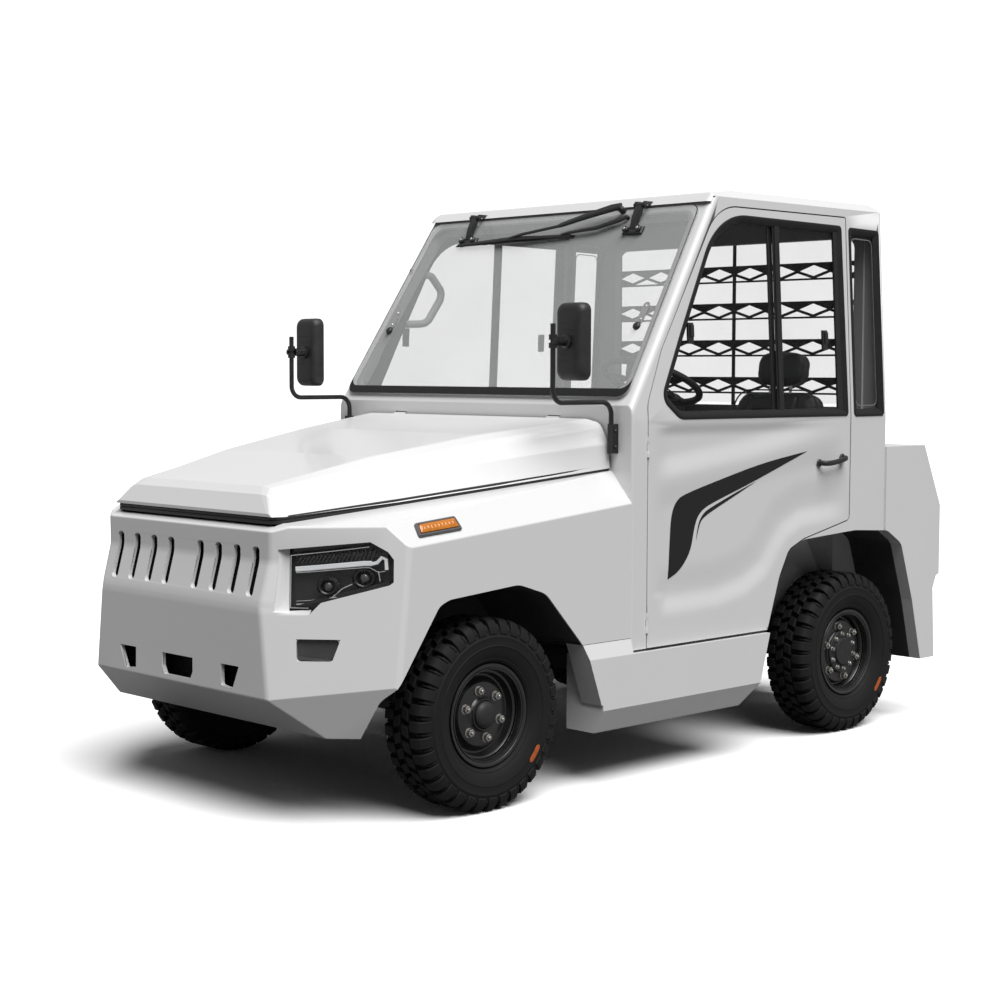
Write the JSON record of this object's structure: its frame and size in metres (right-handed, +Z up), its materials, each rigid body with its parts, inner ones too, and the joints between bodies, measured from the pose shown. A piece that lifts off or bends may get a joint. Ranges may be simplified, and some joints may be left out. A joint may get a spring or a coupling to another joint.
{
  "type": "airport baggage tug",
  "caption": "Airport baggage tug with an enclosed two-seat cab, steered front wheels, opening hood, doors and windscreen, and a jaw coupling with a drop pin at the tail.",
  "frame": {"origin": "on the ground, under the middle of the whole length, tow coupling included", "axes": "+X forward, +Y the vehicle's left, +Z up"},
  "size_m": [3.377, 1.668, 2.112],
  "materials": {
    "white_paint": "gloss",
    "black_metal": "satin",
    "black_plastic": "matte",
    "dark_liner": "matte",
    "cast": "rough",
    "bright_steel": "satin",
    "tyre": "matte",
    "glass": "clear",
    "lamp_glass": "clear",
    "amber_lens": "gloss",
    "red_lens": "gloss",
    "seat_vinyl": "satin",
    "grey_trim": "matte"
  },
  "bodies": {
    "chassis": {"frame": "black_metal", "front_body": "white_paint", "arch_liners": "dark_liner", "engine_block": "cast", "cowl": "white_paint", "cab_shell": "white_paint", "roof": "white_paint", "tail": "white_paint", "steps": "white_paint", "rear_guard": "black_metal", "fixed_windows": "glass", "dashboard": "black_plastic", "seat_plinth": "grey_trim", "seat_cushion_left": "seat_vinyl", "seat_cushion_right": "seat_vinyl", "seat_back_left": "seat_vinyl", "seat_back_right": "seat_vinyl", "steering_column": "black_plastic", "front_axle": "black_metal", "rear_axle": "cast", "headlamps": "lamp_glass", "side_lamps": "amber_lens", "tail_lamps": "red_lens", "tow_coupling": "black_metal", "mirror_left": "black_plastic", "mirror_right": "black_plastic", "windscreen_brackets": "black_metal"},
    "knuckle_left": {"knuckle_left": "cast"},
    "knuckle_right": {"knuckle_right": "cast"},
    "tie_rod": {"tie_rod": "black_metal"},
    "wheel_front_left": {"tyre_front_left": "tyre", "rim_front_left": "black_metal"},
    "wheel_front_right": {"tyre_front_right": "tyre", "rim_front_right": "black_metal"},
    "wheel_rear_left": {"tyre_rear_left": "tyre", "rim_rear_left": "black_metal"},
    "wheel_rear_right": {"tyre_rear_right": "tyre", "rim_rear_right": "black_metal"},
    "steering_wheel": {"steering_wheel": "black_plastic"},
    "door_left": {"door_left": "white_paint", "door_window_left": "glass", "door_handle_left": "black_plastic"},
    "door_right": {"door_right": "white_paint", "door_window_right": "glass", "door_handle_right": "black_plastic"},
    "hood": {"hood": "white_paint"},
    "windscreen": {"windscreen": "glass", "wiper": "black_plastic"},
    "tow_pin": {"tow_pin": "bright_steel"}
  },
  "joints": [
    {"name": "steer_left", "type": "hinge", "parent": "chassis", "child": "knuckle_left", "pos_m": [0.9915, 0.566, 0.32], "axis": [0, 0, 1], "range_deg": [-33, 33]},
    {"name": "steer_right", "type": "hinge", "parent": "chassis", "child": "knuckle_right", "pos_m": [0.9915, -0.566, 0.32], "axis": [0, 0, 1], "range_deg": [-33, 33]},
    {"name": "tie_rod_end", "type": "hinge", "parent": "knuckle_left", "child": "tie_rod", "pos_m": [0.8415, 0.566, 0.242], "axis": [0, 0, 1], "range_deg": [-33, 33]},
    {"name": "steering_turn", "type": "hinge", "parent": "chassis", "child": "steering_wheel", "pos_m": [-0.2435, 0.372, 1.405], "axis": [-0.4226, 0, 0.9063], "range_deg": [-400, 400]},
    {"name": "spin_front_left", "type": "hinge", "parent": "knuckle_left", "child": "wheel_front_left", "pos_m": [0.9915, 0.686, 0.32], "axis": [0, 1, 0], "continuous": true},
    {"name": "spin_front_right", "type": "hinge", "parent": "knuckle_right", "child": "wheel_front_right", "pos_m": [0.9915, -0.686, 0.32], "axis": [0, 1, 0], "continuous": true},
    {"name": "spin_rear_left", "type": "hinge", "parent": "chassis", "child": "wheel_rear_left", "pos_m": [-1.0185, 0.667, 0.32], "axis": [0, 1, 0], "continuous": true},
    {"name": "spin_rear_right", "type": "hinge", "parent": "chassis", "child": "wheel_rear_right", "pos_m": [-1.0185, -0.667, 0.32], "axis": [0, 1, 0], "continuous": true},
    {"name": "door_left_hinge", "type": "hinge", "parent": "chassis", "child": "door_left", "pos_m": [0.259, 0.8, 0.9], "axis": [0, 0, -1], "range_deg": [0, 70]},
    {"name": "door_right_hinge", "type": "hinge", "parent": "chassis", "child": "door_right", "pos_m": [0.259, -0.8, 0.9], "axis": [0, 0, 1], "range_deg": [0, 70]},
    {"name": "hood_hinge", "type": "hinge", "parent": "chassis", "child": "hood", "pos_m": [0.3455, 0, 1.276], "axis": [0, -1, 0], "range_deg": [0, 55]},
    {"name": "windscreen_hinge", "type": "hinge", "parent": "chassis", "child": "windscreen", "pos_m": [-0.0845, 0, 2.064], "axis": [0, -1, 0], "range_deg": [0, 15]},
    {"name": "tow_pin_lift", "type": "slide", "parent": "chassis", "child": "tow_pin", "axis": [0, 0, 1], "range_m": [0, 0.2]}
  ],
  "couplings": [
    {"joint": "steer_right", "follows": "steer_left", "ratio": 1},
    {"joint": "tie_rod_end", "follows": "steer_left", "ratio": -1},
    {"joint": "steering_turn", "follows": "steer_left", "ratio": 12}
  ]
}
